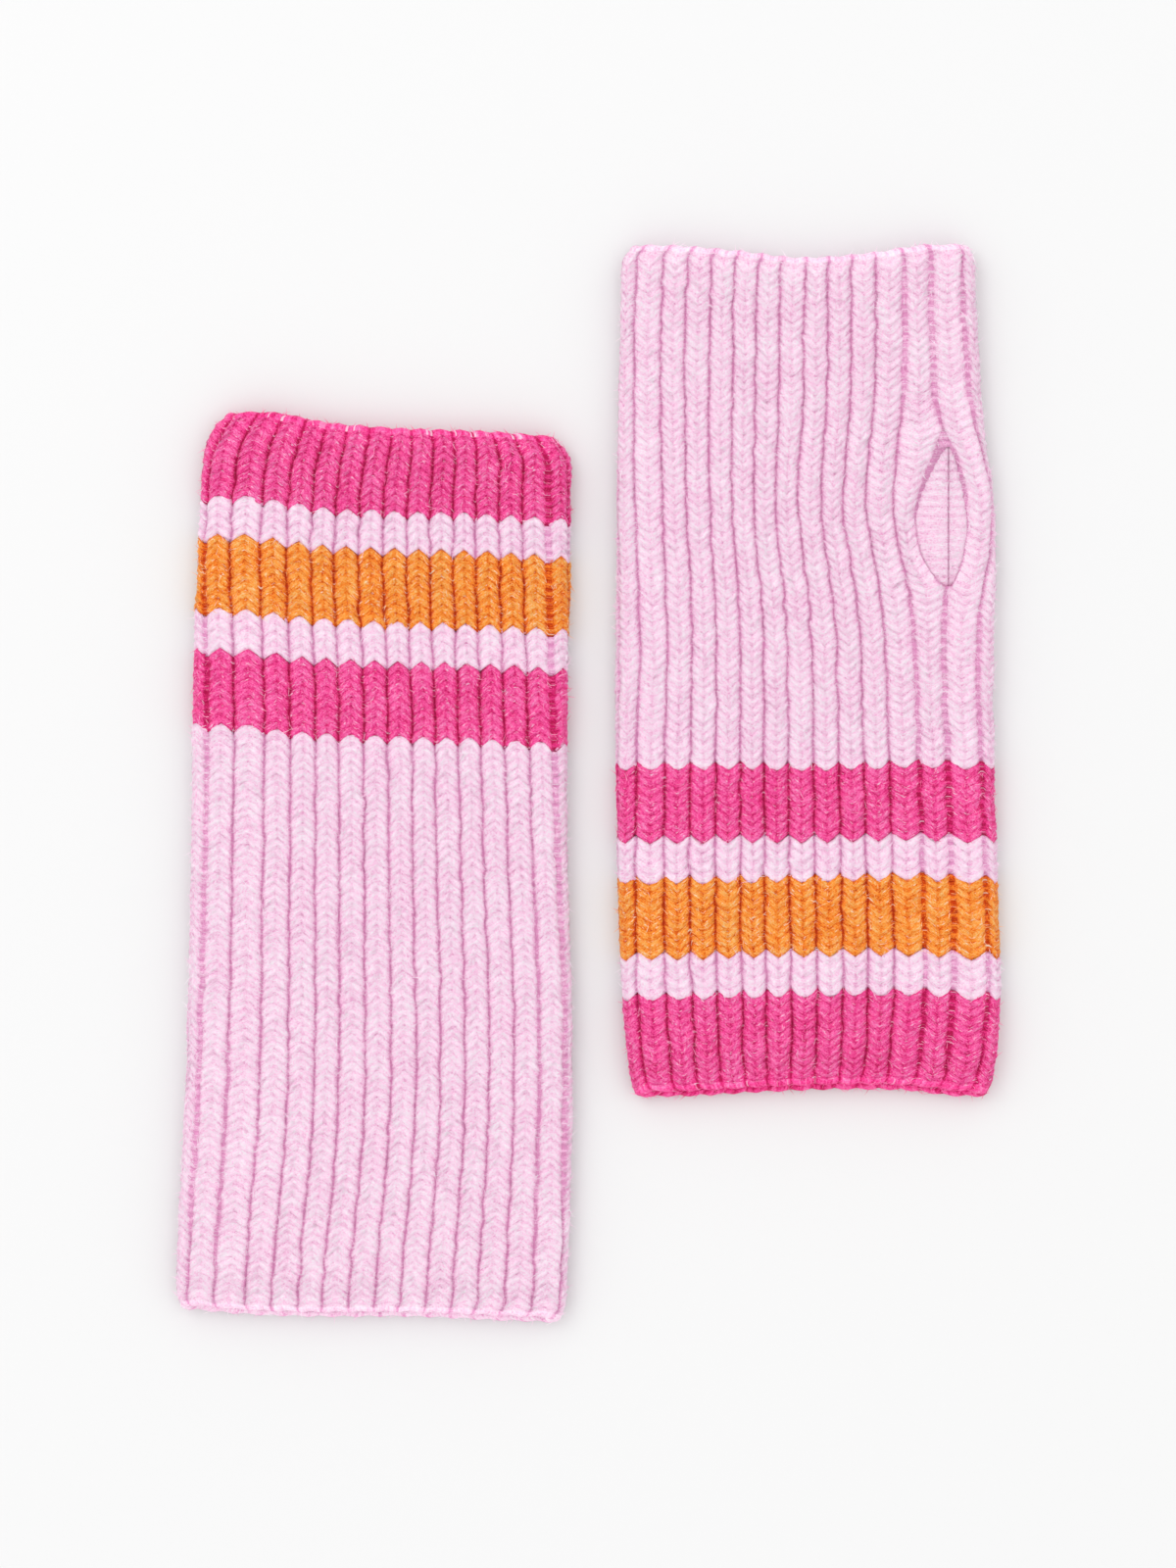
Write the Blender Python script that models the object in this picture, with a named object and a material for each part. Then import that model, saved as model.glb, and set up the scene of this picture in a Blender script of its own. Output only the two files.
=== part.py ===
"""A pair of rib-knit arm warmers, laid flat side by side and pointing opposite ways.

Each one is a knitted tube pressed flat: its front layer lies on its back layer, the two run into each
other round the side folds, and the tube is open at the hand end and at the cuff. Five colour bands are
knitted in at the cuff end, below a long pink body. A thumb slit, closed by two rolled knitted lips, goes
through one layer of each body. +X runs across the pair, +Y along the tubes, and +Z up from the surface.
"""

import math
from collections import namedtuple

import bmesh
import bpy
import numpy as np
from mathutils import Matrix

MM = 0.001  # every size below is in millimetres, and this turns it to metres

# The knit and the pressed tube
WALL = 3.0  # thickness of the chunky rib knit
HOLLOW = 1.0  # height of the space left between the two layers
SEAM = 0.3  # gap between two pieces that are knitted or linked together
HEIGHT = 2 * WALL + HOLLOW
MIDDLE = HEIGHT / 2
FOLD_REACH = 4.5  # how far in from the side the round shoulder of a fold runs
FOLD_STEPS = 4
HEM_PEEK = 1.7  # how far the back layer shows past the front layer at the near end
PEEK_REACH = 9.0  # how far in from the end the front layer is drawn up to show it
FLAT_SHARES = (0.12, 0.28, 0.43, 0.57, 0.72, 0.88)  # where a layer has points between its folds
STATION_STEP = 12.0  # the most that two rings of a piece are apart
STATION_LEAST = 0.8  # the least that two rings of a piece are apart
CORNER_STATIONS = (0.0, 0.1, 0.35, 1.0)  # rings at a rounded end, as shares of the rounding
TINY = 1e-6

# The thumb slit and its two knitted lips, seen in the plan
THUMB_LENGTH = 35.0
LIP_WIDE = 8.0  # how far the lip away from the fold reaches out from the slit
LIP_NARROW = 4.4  # how far the lip next to the fold reaches out from the slit
LIP_SKEW = 1.25  # above 1 puts the widest place nearer the cuff
LIP_BLUNT = 0.7  # below 1 rounds the ends
LIP_STEPS = 12
SLIT = 0.8  # width of the closed slit between the lips
LIP_CHAMFER = 0.5
CUTTER_SPARE = 2.0  # how far the cutter of the opening stands out of the wall on each side

YARNS = {"pink": "#F7D0E8", "magenta": "#EC5296", "orange": "#F2934A"}
WOOL_ROUGHNESS = 0.95

# Section: the two sides of a warmer at one place along it. Edge: where an end lies, at a share of the
# width from the left side. Corner: how far the rounding of a corner reaches. Band: a yarn colour and its
# length, listed from the cuff. Thumb: the layer that the slit goes through, and where its middle is.
Section = namedtuple("Section", "along left right")
Edge = namedtuple("Edge", "share along")
Corner = namedtuple("Corner", "across along")
Band = namedtuple("Band", "name yarn length")
Thumb = namedtuple("Thumb", "layer across fold_side middle")
Warmer = namedtuple("Warmer", "name sections far_edge near_edge corners cuff_is_far bands thumb")

LEFT = Warmer(
    name="left",
    sections=(
        Section(-128, -98.3, -5.2),
        Section(-105, -97.7, -4.3),
        Section(-80, -96.4, -3.8),
        Section(-50, -95.5, -3.8),
        Section(-24, -94.9, -4.7),
        Section(12, -94.5, -4.8),
        Section(47, -93.5, -4.2),
        Section(75, -92.0, -4.0),
    ),
    far_edge=(
        Edge(0, 88.2),
        Edge(0.13, 88.4),
        Edge(0.3, 86.0),
        Edge(0.5, 84.7),
        Edge(0.8, 83.8),
        Edge(1, 82.6),
    ),
    near_edge=(
        Edge(0, -125.2),
        Edge(0.12, -126.3),
        Edge(0.35, -127.1),
        Edge(0.62, -127.1),
        Edge(0.85, -128.0),
        Edge(1, -128.4),
    ),
    corners={
        "far_left": Corner(8, 15),
        "far_right": Corner(6, 8),
        "near_left": Corner(3, 3),
        "near_right": Corner(3, 4),
    },
    cuff_is_far=True,
    bands=(
        Band("cuff", "magenta", 20.7),
        Band("pale_stripe_a", "pink", 8.9),
        Band("orange_stripe", "orange", 17.4),
        Band("pale_stripe_b", "pink", 9.4),
        Band("magenta_stripe", "magenta", 17.9),
        Band("body", "pink", 137.7),
    ),
    thumb=Thumb(layer="back", across=11.0, fold_side="left", middle=-63.6),
)
RIGHT = Warmer(
    name="right",
    sections=(
        Section(-75, 10.3, 96.4),
        Section(-65, 9.2, 97.5),
        Section(-52, 8.0, 98.4),
        Section(-30, 7.1, 97.8),
        Section(0, 6.6, 97.0),
        Section(35, 6.7, 96.8),
        Section(60, 6.8, 97.2),
        Section(72, 6.8, 96.3),
        Section(85, 7.0, 94.5),
        Section(105, 7.4, 93.2),
        Section(125, 7.9, 92.2),
    ),
    far_edge=(
        Edge(0, 128.2),
        Edge(0.1, 128.2),
        Edge(0.3, 127.0),
        Edge(0.5, 125.3),
        Edge(0.7, 126.3),
        Edge(0.88, 128.3),
        Edge(1, 128.4),
    ),
    near_edge=(
        Edge(0, -74.6),
        Edge(0.15, -74.4),
        Edge(0.35, -73.5),
        Edge(0.6, -72.8),
        Edge(0.8, -73.2),
        Edge(0.92, -74.4),
        Edge(1, -74.5),
    ),
    corners={
        "far_left": Corner(4.5, 5),
        "far_right": Corner(2.5, 3.5),
        "near_left": Corner(2.5, 3),
        "near_right": Corner(3, 4),
    },
    cuff_is_far=False,
    bands=(
        Band("cuff", "magenta", 23.5),
        Band("pale_stripe_a", "pink", 9.4),
        Band("orange_stripe", "orange", 17.9),
        Band("pale_stripe_b", "pink", 9.4),
        Band("magenta_stripe", "magenta", 17.2),
        Band("body", "pink", 121.7),
    ),
    thumb=Thumb(layer="front", across=11.3, fold_side="right", middle=63.6),
)


def linear(channel):
    """An sRGB channel, 0 to 1, as a linear one."""
    return channel / 12.92 if channel <= 0.04045 else ((channel + 0.055) / 1.055) ** 2.4


def wool_material(name):
    """A plain wool material in the yarn's colour."""
    material = bpy.data.materials.new(f"{name}_wool")
    material.use_nodes = True
    shader = material.node_tree.nodes["Principled BSDF"]
    rgb = [linear(int(YARNS[name][i : i + 2], 16) / 255) for i in (1, 3, 5)]
    shader.inputs["Base Color"].default_value = (*rgb, 1)
    shader.inputs["Roughness"].default_value = WOOL_ROUGHNESS
    shader.inputs["Metallic"].default_value = 0
    material.diffuse_color = (*rgb, 1)
    return material


def smooth(places, values, at):
    """A smooth curve through a short table, read at one place."""
    at = min(max(at, places[0]), places[-1])
    slopes = np.gradient(values, places)
    i = min(int(np.searchsorted(places, at, side="right")) - 1, len(places) - 2)
    span = places[i + 1] - places[i]
    t = (at - places[i]) / span
    return (
        (2 * t**3 - 3 * t**2 + 1) * values[i]
        + (t**3 - 2 * t**2 + t) * span * slopes[i]
        + (3 * t**2 - 2 * t**3) * values[i + 1]
        + (t**3 - t**2) * span * slopes[i + 1]
    )


def end_line(warmer, share, end):
    """Where an end of the back layer lies, at a share of the width from the left side."""
    edge = warmer.far_edge if end == "far" else warmer.near_edge
    return smooth([e.share for e in edge], [e.along for e in edge], share)


def side_line(warmer, side, along):
    """The x of a side before its corners are rounded."""
    places = [s.along for s in warmer.sections]
    return smooth(places, [getattr(s, side) for s in warmer.sections], along)


def corner_inset(corner, distance):
    """How far a rounded corner takes the side in, at a distance from the end."""
    if distance >= corner.along:
        return 0.0
    return corner.across * (1 - math.sqrt(1 - (1 - max(distance, 0) / corner.along) ** 2))


def sides(warmer, up):
    """The x of the left and right side, at a share of the length from the near end."""
    found = []
    for share, side, inward in ((0, "left", 1), (1, "right", -1)):
        near = end_line(warmer, share, "near")
        far = end_line(warmer, share, "far")
        along = near + (far - near) * up
        inset = corner_inset(warmer.corners[f"near_{side}"], along - near)
        inset += corner_inset(warmer.corners[f"far_{side}"], far - along)
        found.append(side_line(warmer, side, along) + inward * inset)
    return found


def half_profile(width, margin, reach, rise):
    """A layer's skin from the left fold to the right one, as (distance from the left side, height from
    the middle, share of the full height). It starts on the left fold and stops short of the right one."""
    turns = [math.radians(90 * i / FOLD_STEPS) for i in range(FOLD_STEPS + 1)]
    shoulder = [(margin + reach * (1 - math.cos(t)), rise * math.sin(t), math.sin(t)) for t in turns]
    flat = [(width * share, rise, 1.0) for share in FLAT_SHARES]
    return shoulder + flat + [(width - x, z, lift) for x, z, lift in shoulder[:0:-1]]


def ring(warmer, up, inner):
    """The points of one ring round the tube, in metres, on its outer or its inner skin."""
    left, right = sides(warmer, up)
    width = right - left
    margin, rise = (WALL, HOLLOW / 2) if inner else (0.0, MIDDLE)
    front = half_profile(width, margin, FOLD_REACH - margin, rise)
    back = [(width - x, -z, 0.0) for x, z, _ in front]
    points = []
    for x, z, lift in front + back:
        near = end_line(warmer, x / width, "near")
        in_from_end = (end_line(warmer, x / width, "far") - near) * up
        peek = HEM_PEEK * lift * max(0.0, 1 - in_from_end / PEEK_REACH)
        points.append(((left + x) * MM, (near + in_from_end + peek) * MM, (MIDDLE + z) * MM))
    return points


def band_shares(warmer):
    """Each band's start and end as shares of the length from the near end, and the whole length."""
    total = sum(band.length for band in warmer.bands)
    shares, start = [], 0.0
    for band in warmer.bands:
        end = start + band.length / total
        shares.append((1 - end, 1 - start) if warmer.cuff_is_far else (start, end))
        start = end
    return shares, total


def stations(low, high, total, warmer):
    """The shares at which a band has rings: its ends, even steps, and the rounded corners."""
    low = low + SEAM / 2 / total if low > TINY else 0.0
    high = high - SEAM / 2 / total if high < 1 - TINY else 1.0
    steps = max(2, math.ceil((high - low) * total / STATION_STEP) + 1)
    found = list(np.linspace(low, high, steps))
    near = max(warmer.corners[f"near_{side}"].along for side in ("left", "right")) / total
    far = max(warmer.corners[f"far_{side}"].along for side in ("left", "right")) / total
    rounded = [near * c for c in CORNER_STATIONS] + [1 - far * c for c in CORNER_STATIONS]
    found = sorted(found + [share for share in rounded if low < share < high])
    kept = [found[0]]
    for share in found[1:-1]:
        if min(share - kept[-1], found[-1] - share) > STATION_LEAST / total:
            kept.append(share)
    return kept + [found[-1]]


def new_object(name, bm, yarn):
    """Turns a finished bmesh into a named object in its yarn's material."""
    bmesh.ops.recalc_face_normals(bm, faces=bm.faces)
    mesh = bpy.data.meshes.new(name)
    bm.to_mesh(mesh)
    bm.free()
    mesh.materials.append(materials[yarn])
    obj = bpy.data.objects.new(name, mesh)
    bpy.context.scene.collection.objects.link(obj)
    return obj


def knit_band(warmer, band, shares, total):
    """One colour band of a tube: an outer and an inner skin of rings, joined round both ends."""
    bm = bmesh.new()
    at = stations(*shares, total, warmer)
    outer, inner = (
        [[bm.verts.new(point) for point in ring(warmer, up, is_inner)] for up in at]
        for is_inner in (False, True)
    )
    for one, other in list(zip(outer, outer[1:])) + list(zip(inner, inner[1:])):
        for i in range(len(one)):
            bm.faces.new((one[i - 1], one[i], other[i], other[i - 1]))
    for skin, core in ((outer[0], inner[0]), (outer[-1], inner[-1])):
        for i in range(len(skin)):
            bm.faces.new((skin[i - 1], skin[i], core[i]))
            bm.faces.new((skin[i - 1], core[i], core[i - 1]))
    return new_object(f"{warmer.name}_{band.name}", bm, band.yarn)


def thumb_place(warmer):
    """The middle of the slit in the plan, the x direction away from the fold, and the y direction of
    the cuff."""
    thumb = warmer.thumb
    away = -1 if thumb.fold_side == "right" else 1
    x = side_line(warmer, thumb.fold_side, thumb.middle) + away * thumb.across
    return x, thumb.middle, away, 1 if warmer.cuff_is_far else -1


def lobe(bulge, inset, toward_cuff):
    """Points along one side of the thumb opening from its hand end to its cuff end, as (distance out
    from the slit, distance along from the middle)."""
    points = []
    for i in range(LIP_STEPS + 1):
        t = i / LIP_STEPS
        out = bulge * math.sin(math.pi * t**LIP_SKEW) ** LIP_BLUNT if 0 < i < LIP_STEPS else 0.0
        along = toward_cuff * (THUMB_LENGTH - 2 * inset) * (t - 0.5)
        points.append((max(out - inset, 0.0), along))
    return points


def wall_span(warmer):
    """The lowest and highest z of the layer that the thumb slit goes through."""
    return (MIDDLE + HOLLOW / 2, HEIGHT) if warmer.thumb.layer == "front" else (0.0, WALL)


def prism(outline, low, high):
    """A closed upright prism on a plan outline in millimetres."""
    bm = bmesh.new()
    face = bm.faces.new([bm.verts.new((x * MM, y * MM, low * MM)) for x, y in outline])
    raised = bmesh.ops.extrude_face_region(bm, geom=[face])["geom"]
    top = [v for v in raised if isinstance(v, bmesh.types.BMVert)]
    bmesh.ops.translate(bm, verts=top, vec=(0, 0, (high - low) * MM))
    return bm


def cut_thumb_opening(warmer, tube):
    """Cuts the almond-shaped opening through one layer of the tube with a hidden cutter."""
    x, y, away, toward_cuff = thumb_place(warmer)
    wide = [(x + away * out, y + along) for out, along in lobe(LIP_WIDE, 0, toward_cuff)]
    narrow = [(x - away * out, y + along) for out, along in lobe(LIP_NARROW, 0, toward_cuff)]
    in_front = warmer.thumb.layer == "front"
    low, high = (MIDDLE, HEIGHT + CUTTER_SPARE) if in_front else (-CUTTER_SPARE, MIDDLE)
    shape = prism(wide + narrow[-2:0:-1], low, high)
    cutter = new_object(f"{warmer.name}_thumb_cutter", shape, "pink")
    cutter.hide_render = True
    cutter.display_type = "WIRE"
    boolean = tube.modifiers.new("thumb_opening", "BOOLEAN")
    boolean.operation = "DIFFERENCE"
    boolean.solver = "EXACT"
    boolean.object = cutter


def thumb_lip(warmer, name, bulge, side):
    """One rolled lip of the thumb slit: a crescent as thick as the wall, its outer edges eased."""
    x, y, away, toward_cuff = thumb_place(warmer)
    outer = [point for point in lobe(bulge, SEAM, toward_cuff) if point[0] > SLIT]
    outline = [(x + side * away * out, y + along) for out, along in outer]
    outline += [(x + side * away * SLIT / 2, y + along) for _, along in reversed(outer)]
    low, high = wall_span(warmer)
    bm = prism(outline, low, high)
    if warmer.thumb.layer == "front":
        crest = [e for e in bm.edges if all(abs(v.co.z - high * MM) < TINY for v in e.verts)]
        bmesh.ops.bevel(bm, geom=crest, offset=LIP_CHAMFER * MM, segments=1, affect="EDGES")
    return new_object(f"{warmer.name}_thumb_lip_{name}", bm, "pink")


def centre_the_pair():
    """Moves everything so that the origin is below the middle of the pair's box."""
    shapes = [obj for obj in bpy.data.objects if obj.type == "MESH"]
    points = np.array([v.co for obj in shapes if not obj.hide_render for v in obj.data.vertices])
    low, high = points.min(0), points.max(0)
    shift = Matrix.Translation((-(low[0] + high[0]) / 2, -(low[1] + high[1]) / 2, -low[2]))
    for obj in shapes:
        obj.data.transform(shift)


for old in list(bpy.data.objects):
    bpy.data.objects.remove(old)
materials = {name: wool_material(name) for name in YARNS}
for warmer in (LEFT, RIGHT):
    shares, total = band_shares(warmer)
    for band, limits in zip(warmer.bands, shares):
        tube = knit_band(warmer, band, limits, total)
        if band.name == "body":
            cut_thumb_opening(warmer, tube)
    thumb_lip(warmer, "wide", LIP_WIDE, 1)
    thumb_lip(warmer, "narrow", LIP_NARROW, -1)
centre_the_pair()
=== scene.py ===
"""A pair of rib-knit arm warmers in brushed wool, laid flat, seen from straight above."""

import math
from collections import namedtuple

import bpy
import numpy as np
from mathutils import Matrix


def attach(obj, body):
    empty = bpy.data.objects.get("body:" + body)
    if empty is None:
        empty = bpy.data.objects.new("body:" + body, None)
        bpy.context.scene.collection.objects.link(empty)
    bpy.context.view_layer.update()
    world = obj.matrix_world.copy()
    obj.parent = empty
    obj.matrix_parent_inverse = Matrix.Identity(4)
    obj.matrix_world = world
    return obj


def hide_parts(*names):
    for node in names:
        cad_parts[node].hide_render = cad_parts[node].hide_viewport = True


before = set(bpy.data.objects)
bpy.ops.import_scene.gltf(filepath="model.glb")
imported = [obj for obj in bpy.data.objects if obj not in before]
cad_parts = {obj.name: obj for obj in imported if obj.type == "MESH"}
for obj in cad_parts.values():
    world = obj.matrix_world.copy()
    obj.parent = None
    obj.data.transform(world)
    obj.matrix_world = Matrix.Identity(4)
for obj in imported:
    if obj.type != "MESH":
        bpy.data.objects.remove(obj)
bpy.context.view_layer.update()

MM = 0.001


# ---------------------------------------------------------------------------------------------------
# The surface, the light and the camera. The pair lies on a plain off-white table top, under a wide
# even tent of light with one large soft lamp above its upper left, and is seen from straight above.

FRAME_HEIGHT = 373.28 * MM  # the height of what the camera takes in, at the top of the knit
KNIT_TOP = 5.0 * MM
LENS = 100
FILM = 36
TENT_STRENGTH = 1.18
LAMP_PLACE = (-0.9, 0.9, 1.5)
LAMP_SIZE = 1.2
LAMP_POWER = 6
TABLE_DROP = 0.2 * MM  # the table top lies just under the wool, so that no faces coincide


def linear(colour):
    """An sRGB hex colour as linear red, green and blue, and 1."""
    channels = [int(colour[i : i + 2], 16) / 255 for i in (1, 3, 5)]
    return [c / 12.92 if c <= 0.04045 else ((c + 0.055) / 1.055) ** 2.4 for c in channels] + [1]


def add_node(tree, kind, settings=None, inputs=None):
    """Adds a node with its settings, and sets or links each of its inputs."""
    node = tree.nodes.new(kind)
    for name, value in (settings or {}).items():
        setattr(node, name, value)
    for name, value in (inputs or {}).items():
        if isinstance(value, bpy.types.NodeSocket):
            tree.links.new(value, node.inputs[name])
        else:
            node.inputs[name].default_value = value
    return node


def new_material(name):
    """An empty node material with a Principled shader, and that shader."""
    material = bpy.data.materials.new(name)
    material.use_nodes = True
    return material, material.node_tree.nodes["Principled BSDF"]


bpy.ops.object.select_all(action="DESELECT")
bpy.ops.mesh.primitive_plane_add(size=6, location=(0, 0, -TABLE_DROP))
table_top = bpy.context.object
table_top.name = "table_top"
lacquer, shader = new_material("matt_white_lacquer")
shader.inputs["Base Color"].default_value = linear("#E0E0E0")
shader.inputs["Roughness"].default_value = 0.9
shader.inputs["Specular IOR Level"].default_value = 0.1
table_top.data.materials.append(lacquer)

world = bpy.data.worlds.new("light_tent")
bpy.context.scene.world = world
world.use_nodes = True
world.node_tree.nodes["Background"].inputs["Color"].default_value = (1, 1, 1, 1)
world.node_tree.nodes["Background"].inputs["Strength"].default_value = TENT_STRENGTH


bpy.ops.object.light_add(type="AREA", location=LAMP_PLACE)
lamp = bpy.context.object
lamp.name = "soft_lamp"
lamp.data.size = LAMP_SIZE
lamp.data.energy = LAMP_POWER
lamp.rotation_euler = (-lamp.location).to_track_quat("-Z", "Y").to_euler()

bpy.ops.object.camera_add(location=(0, 0, KNIT_TOP + FRAME_HEIGHT * LENS / FILM))
camera = bpy.context.object
camera.name = "camera"
camera.data.lens = LENS
camera.data.sensor_width = FILM
bpy.context.scene.camera = camera
bpy.context.scene.view_settings.view_transform = "Standard"


# ---------------------------------------------------------------------------------------------------
# The knitted tubes. Each warmer is 1x1 rib in a chunky brushed wool, knitted to the shape of a tube
# with a change of yarn at each stripe, and pressed flat. Each colour band is one closed shell of knit:
# rows of stitches over the outside, and a plain inner face. Front ribs run as the pair lies: they
# drift sideways, spread at the folds and part round the thumb slit.

# All in millimetres unless they are shares or counts.
WALL = 3.0
HOLLOW = 0.8  # between the inner faces of the two layers
HEIGHT = 7.0
MIDDLE = HEIGHT / 2
FOLD_REACH = 4.5  # how far in from the side a fold's rounding reaches
HEM_PEEK = 1.7  # how far the under layer shows past the upper one at the near end
PEEK_REACH = 9.0
RIM = 1.3  # radius of the rounded rim at an open end

RIB_DEPTH = 0.95  # from the crown of a rib to the floor of the valley beside it
RIB_SHOULDER = 1.5  # how far from the valley a rib has risen to its crown
CHEVRON = 2.1  # how far the middle of a stitch lies nearer the cuff than its sides
LEG_SWELL = 0.55  # how much each leg of a stitch swells out between its neighbours
MIDDLE_GROOVE = 0.4  # depth of the line between the two legs of a stitch
VALLEY_WIDTH = 0.25
PURL_SWELL = 0.45  # how far the purl bars stand up in an open valley
LADDER_FROM = 0.4  # width at which a valley's purl bars start to show
LADDER_MOST = 0.8  # how plainly they show at most
LADDER_WIDEST = 3.2  # wider than this it is the thumb gap, with no bars
CROWN_POWER = 2.2  # how full the rib's section is: 2 is a quarter circle
GROOVE_WIDTH = 0.07  # of the line down a rib's middle, as a share of the rib
GROOVE_PAINTED_SHADE = 0.30  # how dark the painted shade of that line is, where 1 is the painted shade of a whole rib's depth
# Painted shade of the plain inner face, as a depth for the material: halfway between a valley floor and a
# crest.
INNER_PAINTED_SHADE = 0.5
SWELL_LEAST = 0.3  # how far a leg still stands up where two courses meet
SWELL_LEVEL = 0.75  # swell that lies level with the crown
LEG_VARIETY = 0.3  # how much the legs differ in size
COURSE_STRAY = 0.04  # how far a rib's courses stray from its neighbours', as a share of a course
RIB_SINK = 0.10  # how far a rib sinks and rises slowly along its length
NAP = 0.09  # how uneven the brushed surface is
STRAY = 0.16  # how far a valley strays sideways from course to course
BIND_START = 0.8  # ribs die out from BIND_START + BIND_REACH to BIND_START off an open end
BIND_REACH = 4.5
BIND_RELIEF = 0.05  # share of the relief that is left at the end
BIND_SINK = 0.5  # how far the edge lies below the crowns
SCALLOP = 0.05  # how far a rib's end stands out past the valleys'
FLATTEN_REACH = 3.5  # the chevrons straighten out this far from an open end
OPEN_FADE = 8.0  # an open valley closes over this length

ROWS_A_COURSE = 5
RIB_STEPS_FRONT = (0, 0.05, 0.14, 0.26, 0.38, 0.5, 0.62, 0.74, 0.86, 0.95, 1)
RIB_STEPS_BACK = (0, 0.1, 0.3, 0.5, 0.7, 0.9, 1)
RIM_TURNS = (0, 30, 60, 90, 120, 150, 180)

INNER_CLEAR = 0.6  # the inner face keeps this far from the fold, beyond the wall
LEAST_HEIGHT = 0.02  # above the table
THUMB_LENGTH = 35.0
LIP_WIDE = 8.0  # how far the lip away from the fold reaches out from the slit
LIP_NARROW = 4.4  # and the lip beside the fold
LIP_SKEW = 1.25  # above 1 the lips are fullest towards the cuff
LIP_BLUNT = 0.7  # below 1 their ends are blunter than a sine

# Tables: the tube's sides at places along it, its ends at shares of its width, its rounded corners,
# its colour bands from the cuff, how its front ribs drift from end to end (the first and last valley
# as shares of the width, a bow between them, and how crisp the stitches are), and its open valleys.
Section = namedtuple("Section", "along left right")
Edge = namedtuple("Edge", "share along")
Corner = namedtuple("Corner", "across along")
Band = namedtuple("Band", "name yarn length courses")
Drift = namedtuple("Drift", "along first last bow crisp")
Open = namedtuple("Open", "valley start end width")
Warmer = namedtuple(
    "Warmer",
    "name sections far_edge near_edge corners cuff bands thumb_layer thumb_x thumb_y "
    "rib_widths drifts opens back_ribs",
)

LEFT = Warmer(
    name="left",
    sections=(
        Section(-128, -98.3, -5.2),
        Section(-105, -97.7, -4.3),
        Section(-80, -96.4, -3.8),
        Section(-50, -95.5, -3.8),
        Section(-24, -94.9, -4.7),
        Section(12, -94.5, -4.8),
        Section(47, -93.5, -4.2),
        Section(75, -92.0, -4.0),
    ),
    far_edge=(
        Edge(0, 88.2),
        Edge(0.13, 88.4),
        Edge(0.3, 86.0),
        Edge(0.5, 84.7),
        Edge(0.8, 83.8),
        Edge(1, 82.6),
    ),
    near_edge=(
        Edge(0, -125.2),
        Edge(0.12, -126.3),
        Edge(0.35, -127.1),
        Edge(0.62, -127.1),
        Edge(0.85, -128.0),
        Edge(1, -128.4),
    ),
    corners={
        "far_left": Corner(8, 15),
        "far_right": Corner(6, 8),
        "near_left": Corner(3, 3),
        "near_right": Corner(3, 4),
    },
    cuff=1,
    bands=(
        Band("cuff", "magenta", 20.7, 10),
        Band("pale_stripe_a", "pink", 8.9, 4),
        Band("orange_stripe", "orange", 17.4, 8),
        Band("pale_stripe_b", "pink", 9.4, 4),
        Band("magenta_stripe", "magenta", 17.9, 8),
        Band("body", "pink", 137.7, 64),
    ),
    thumb_layer="back",
    thumb_x=-85.2,
    thumb_y=-63.6,
    rib_widths=(1.10, 1.22, 1.06, 1.02, 0.95, 1.0, 1.0, 0.97, 0.95, 0.96, 0.93, 0.98, 1.0, 1.05),
    drifts=(
        Drift(-125, 0.028, 0.985, -0.015, 0.45),
        Drift(-117, 0.030, 0.985, -0.014, 0.45),
        Drift(-84, 0.034, 0.983, 0.004, 0.5),
        Drift(-35, 0.040, 0.982, 0.0, 0.6),
        Drift(20, 0.040, 0.960, 0.004, 0.75),
        Drift(61, 0.016, 0.939, 0.002, 1.0),
        Drift(85, 0.030, 0.935, 0.002, 1.0),
    ),
    opens=(
        Open(0, -110, 60, 0.7),
        Open(14, -100, 84, 1.0),
        Open(1, -120, -60, 0.3),
        Open(13, -110, -20, 0.3),
    ),
    back_ribs=17,
)
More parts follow.
